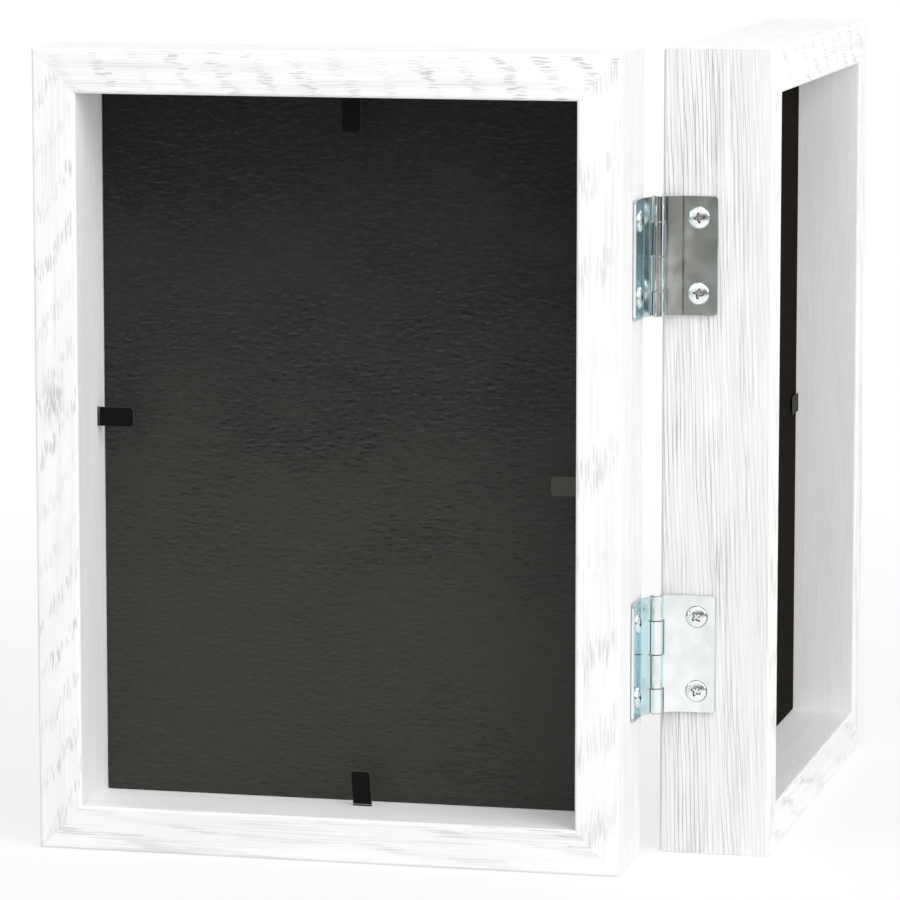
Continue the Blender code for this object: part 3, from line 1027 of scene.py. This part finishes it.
def make_board(name, place, board_place, material, seed):
    """A thin board with a flat front and a slightly uneven rear. board_place is its front's depth."""
    board_rear = board_place + board_thickness
    wide = frame_width - 2 * (border + sheet_clearance)
    high = frame_height - 2 * (border + sheet_clearance)
    columns = 84
    rows = 118
    start = border + sheet_clearance

    def spot_place(column, row):
        return start + wide * column / columns, start + high * row / rows

    def rear(column, row):
        u, z = spot_place(column, row)
        at_edge = min(column, columns - column, row, rows - row)
        if at_edge == 0:
            return place(u, board_rear - board_rim_drop, z)
        swell = noise.noise(Vector((u * swells[0] + seed, z * swells[1], seed)))
        wrinkle = noise.noise(Vector((u * wrinkles[0], z * wrinkles[1] + seed, seed)))
        dent = board_swell * swell + board_wrinkle * wrinkle - board_sink
        return place(u, board_rear + min(dent, 0.0), z)

    mesh = bmesh.new()
    spots = [[(column, row) for column in range(columns + 1)] for row in range(rows + 1)]
    grid = [[mesh.verts.new(rear(*spot)) for spot in line] for line in spots]
    fill_grid(mesh, grid)
    front = []
    for spot in rim_of(spots):
        u, z = spot_place(*spot)
        front.append(mesh.verts.new(place(u, board_place, z)))
    join_rims(mesh, rim_of(grid), front)
    mesh.faces.new(front)
    board = make_object(name, mesh, (material,))
    smooth(board, 40)
    return board


# The studio

def show_as(tree, share, lit, plain, output):
    """Shows a share of plain in place of what is lit."""
    mixed = add_node(tree, "ShaderNodeMixShader", {0: share, 1: lit.outputs[0], 2: plain.outputs[0]})
    tree.links.new(mixed.outputs[0], tree.nodes[output].inputs["Surface"])


def seen_directly(tree):
    """One for what the camera, mirrors and glass see, and nothing for light that falls on the object."""
    path = add_node(tree, "ShaderNodeLightPath", {}).outputs
    seen = plus(tree, path["Is Camera Ray"], path["Is Glossy Ray"])
    return calculate(tree, "MINIMUM", plus(tree, seen, path["Is Transmission Ray"]), 1.0)


floor_reach = 6.0
floor_level = -0.0003


def make_floor():
    """A wide pale floor, finely mottled, seen mostly as plain white and wholly so away from the object."""
    made, tree, shader = new_material("pale_floor")
    mottle = grain_noise(tree, own_place(tree), (0.20, 0.20, 0.20), 3.0)
    colour = mix_colours(tree, mottle, (0.86, 0.86, 0.86, 1), (0.90, 0.90, 0.90, 1))
    tree.links.new(colour, shader.inputs["Base Color"])
    shader.inputs["Roughness"].default_value = 0.9
    shader.inputs["Specular IOR Level"].default_value = 0.0
    away = with_places(tree, "LENGTH", own_place(tree))["Value"]
    share = times(tree, seen_directly(tree), soften(tree, away, 0.25, 1.0, 0.75, 1.0))
    plain = add_node(tree, "ShaderNodeEmission", {"Color": white, "Strength": 1.0})
    show_as(tree, share, shader, plain, "Material Output")
    mesh = bmesh.new()
    mesh.faces.new([mesh.verts.new((x * floor_reach, y * floor_reach, floor_level)) for x, y in square])
    make_object("studio_floor", mesh, (made,))


# The card's two reaches from the middle, its height, and the angles from +X at which it starts and ends
card_near = 1.35
card_far = 2.5
card_height = 0.70
card_level = 0.001
card_start = math.radians(38)
card_end = math.radians(172)


def make_card():
    """A curved dark card round the camera's side of the pale floor, seen only in reflections.

    An upright stripe of it and its end under the key lamp are darker, for leaves that mirror each other.
    """
    made, tree, shader = new_material("studio_card_cloth")
    weave = grain_noise(tree, own_place(tree), (0.05, 0.05, 0.05), 2.0)
    colour = mix_colours(tree, weave, (0.170, 0.173, 0.155, 1), (0.220, 0.223, 0.200, 1))
    parts = split(tree, own_place(tree))
    bearing = calculate(tree, "DIVIDE", parts["X"], parts["Y"])
    before = soften(tree, bearing, -0.10, -0.17)
    stripe = times(tree, before, soften(tree, bearing, -0.38, -0.30))
    dark = calculate(tree, "MAXIMUM", stripe, soften(tree, bearing, -0.90, -1.25))
    colour = mix_colours(tree, dark, colour, (0.020, 0.023, 0.024, 1))
    tree.links.new(colour, shader.inputs["Base Color"])
    shader.inputs["Roughness"].default_value = 0.95
    mesh = bmesh.new()
    steps = 40
    columns = []
    for step in range(steps + 1):
        angle = card_start + (card_end - card_start) * step / steps
        column = []
        for reach, z in ((card_near, card_level), (card_far, card_level), (card_far, card_height)):
            column.append(mesh.verts.new((reach * math.cos(angle), reach * math.sin(angle), z)))
        columns.append(column)
    fill_grid(mesh, columns)
    card = make_object("studio_card", mesh, (made,))
    for kind in ("camera", "diffuse", "transmission", "shadow"):
        setattr(card, f"visible_{kind}", False)


world_strength = 0.54
lamp_aim = Vector((0, 0, 0.16))

# Each lamp's place, side in metres and power in watts
lamps = {
    "key_lamp": ((-2.2, 1.35, 1.35), 1.8, 39),
    "fill_lamp": ((1.4, 2.2, 1.5), 1.6, 5),
    "top_lamp": ((-0.4, 1.05, 2.3), 1.4, 20),
}


def make_world():
    """Even, soft light from all round, and a white background."""
    world = bpy.data.worlds.new("studio_world")
    bpy.context.scene.world = world
    world.use_nodes = True
    tree = world.node_tree
    soft = tree.nodes["Background"]
    soft.inputs["Color"].default_value = white
    soft.inputs["Strength"].default_value = world_strength
    plain = add_node(tree, "ShaderNodeBackground", {"Color": white, "Strength": 1.0})
    show_as(tree, seen_directly(tree), soft, plain, "World Output")


def make_lamp(name, place, size, power):
    """A large soft lamp aimed at the object."""
    data = bpy.data.lights.new(name, "AREA")
    data.shape = "SQUARE"
    data.size = size
    data.energy = power
    lamp = add_object(name, data)
    lamp.location = place
    lamp.rotation_euler = (lamp_aim - lamp.location).to_track_quat("-Z", "Y").to_euler()


camera_place = (-0.4918, 2.0960, 0.4489)
camera_lens = 199.2
camera_yaw = math.radians(13.44)
camera_pitch = math.radians(-7.84)


def make_camera():
    """The photograph's camera: a long lens behind the object, looking slightly down."""
    data = bpy.data.cameras.new("photo_camera")
    data.sensor_width = 36
    data.lens = camera_lens
    camera = add_object("photo_camera", data)
    camera.location = camera_place
    level = math.cos(camera_pitch)
    ahead = Vector((math.sin(camera_yaw) * level, -math.cos(camera_yaw) * level, math.sin(camera_pitch)))
    camera.rotation_euler = ahead.to_track_quat("-Z", "Y").to_euler()
    bpy.context.scene.camera = camera


# Putting the finishes and pieces on the model

rail_sides = {"top": "top_rail", "bottom": "bottom_rail", "outer": "outer_stile", "hinge": "hinge_stile"}

# Where the thin wash on each side that takes the hinges starts to thicken, where it is full, and its share.
# The greying it adds is partly painted shade on these sides
hinge_side_wash_and_shade = {
    "right_hinge_stile": (-0.0968, -0.0950, 1.0),
    "left_hinge_stile": (0.0968, 0.0950, 1.25),
}

# How the left hinge stile's open lines weaken towards its rear face and at its front face
stile_fades = ((-0.118, -0.149, 0.45), (-0.1052, -0.1040, 0.30))

# The knot in the right outer stile: along it, across it and in its depth
knot_place = (0.1897, 0.1420, rear_plane)


# The grain of each length of moulding, in the order in which make_wood takes it: rings per metre, waviness,
# pore length, fill, line strength, greyness and sides
wood_settings = {
    "right_top_rail": ((60, -42, 700), 0.25, 0.0056, 0.02, 0.62, 0.60, 0.35),
    "right_bottom_rail": ((9, -110, 700), 0.60, 0.0190, 0.26, 0.66, 0.34, 0.35),
    "right_outer_stile": ((42, 58, 700), 0.30, 0.0062, 0.02, 0.58, 0.34, 0.35),
    "right_hinge_stile": ((26, 20, 700), 0.30, 0.0105, 0.06, 0.44, 0.34, 0.60),
    "left_top_rail": ((40, -60, 700), 0.50, 0.0080, 0.05, 0.50, 0.30, 0.45),
    "left_bottom_rail": ((-18, 70, 700), 0.60, 0.0140, 0.10, 0.50, 0.30, 0.45),
    "left_outer_stile": ((6, -80, 700), 0.60, 0.0140, 0.10, 0.50, 0.26, 0.34),
    "left_hinge_stile": ((-26, 12, 560), 0.90, 0.0500, 0.90, 0.92, 0.30, 1.00),
}


def make_rails(side, place):
    """The four lengths of moulding of one frame, each with grain that runs along it."""
    order = list(wood_settings)
    for wall, kind in rail_sides.items():
        node = f"{side}_{kind}"
        settings = wood_settings[node]
        in_plan, into = ("X", "Y") if side == "right" else ("Y", "X")
        axes = (in_plan, "Z", into) if wall in ("top", "bottom") else ("Z", in_plan, into)
        number = order.index(node)
        shift = (0.37 * number, 0.23 * number, 0.51 * number)
        wash_and_shade = hinge_side_wash_and_shade.get(node, ())
        fades = stile_fades if node == "left_hinge_stile" else ()
        knot = knot_place if node == "right_outer_stile" else ()
        rear = rear_plane if side == "right" else -rear_plane
        wood = make_wood(f"whitewash_{node}", axes, shift, *settings, rear, wash_and_shade, fades, knot)
        crossed = side == "right" and wall in ("bottom", "hinge")
        slots = (nail_slot(place),) if crossed else ()
        rail = make_rail(node + "_fine", wall, place, wood, slots)
        stand_for(rail, node, f"{side}_frame")


def finish_node(node, material):
    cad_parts[node].data.materials[0] = material


def finish_nodes(materials):
    """Finishes for the nodes whose solid is shown as it is."""
    finish_node("left_spacer", materials["left_board"])
    for side in ("right", "left"):
        finish_node(f"{side}_glazing", materials["glazing"])
        finish_node(f"{side}_insert_sheet", materials["paper"])
        for wall in rail_sides:
            finish_node(f"{side}_tab_anchor_{wall}", materials["tab"])
        for rail in ("top", "bottom"):
            for stile in ("outer", "hinge"):
                finish_node(f"{side}_v_nail_{rail}_{stile}", materials["nail"])
    finish_node("right_v_nail_bottom_hinge", materials["painted_nail"])


def dress_frame(side, place, offsets, board_place, materials, seed):
    make_rails(side, place)
    node = f"{side}_backing_board"
    board = make_board(node + "_fine", place, board_place, materials[f"{side}_board"], seed)
    stand_for(board, node, f"{side}_frame")
    for wall in rail_sides:
        node = f"{side}_tab_{wall}"
        lift = raised_tab_lift if node == "right_tab_bottom" else 0.0
        # The tongue beside the hinge takes the lighter copy, with painted light
        face = materials["tab_painted_light"] if node == "right_tab_hinge" else materials["tab"]
        finishes = (face, materials["tab_edge"])
        tongue = make_tongue(node + "_fine", wall, offsets, lift, place, finishes)
        stand_for(tongue, node, f"{side}_{wall}_tongue")


def dress_hinges(materials):
    sides = (("right", right_point, (1, 3)), ("left", left_point, (0, 2)))
    for level, centre in hinge_centres.items():
        for side, place, own in sides:
            body = f"{side}_frame"
            node = f"{level}_hinge_{side}_leaf"
            leaf = make_leaf(node + "_fine", centre, own, place, (materials["leaf"], materials["cut"]))
            stand_for(leaf, node, body)
            for end, height in screw_heights(centre).items():
                node = f"{level}_{side}_screw_{end}"
                screw = make_screw(node, height, place, (materials["screw"], materials["recess"]))
                stand_for(screw, node, body)
        node = f"{level}_hinge_pin"
        stand_for(make_pin(node + "_fine", centre, materials["screw"]), node, "right_frame")


def make_materials():
    return {
        "right_board": make_board_material("black_board_wrinkled", board_black, board_low_tone, 1.0),
        "left_board": make_board_material("black_board_shaded", shaded_board_black, shaded_board_low_tone, 0.05),
        "paper": make_paper_material(),
        "glazing": make_glazing_material(),
        "tab": make_tab_material("black_tab_paint", tab_black, tab_worn, 0.40),
        "tab_painted_light": make_tab_material("tab_painted_light_paint", tab_painted_light, tab_painted_light_worn, 0.55),
        "tab_edge": make_tab_material("tab_cut_edge", tab_cut, tab_cut_worn, 0.35),
        "leaf": make_metal("zinc_cloudy", zinc, zinc_dull, zinc_slanting, zinc_edge, 0.09, 0.09, 1.0, 0.010),
        "cut": make_metal("zinc_cut_edge_painted_shade", cut_zinc_and_shade, cut_zinc_and_shade_dull, cut_zinc_and_shade, white, 0.30, 0.0, 0.2, 0.003),
        "screw": make_metal("zinc_bright", zinc, zinc_dull, screw_slanting, white, 0.18, 0.0, 0.3, 0.003),
        "recess": make_metal("screw_recess_painted_shade", recess_shade, recess_shade_deep, recess_shade, white, 0.45, 0.0, 0.2, 0.001),
        "nail": make_metal("nail_steel_grey", steel, steel_dull, steel, white, 0.34, 0.0, 0.2, 0.004),
        "painted_nail": make_painted_nail_material(),
    }


def dress():
    materials = make_materials()
    finish_nodes(materials)
    dress_frame("right", right_point, right_tab_offsets, right_board_place, materials, 3.1)
    dress_frame("left", left_point, left_tab_offsets, left_board_place, materials, 7.7)
    dress_hinges(materials)


make_camera()
make_world()
make_floor()
make_card()
for name, settings in lamps.items():
    make_lamp(name, *settings)
bpy.context.scene.view_settings.view_transform = "Standard"
dress()
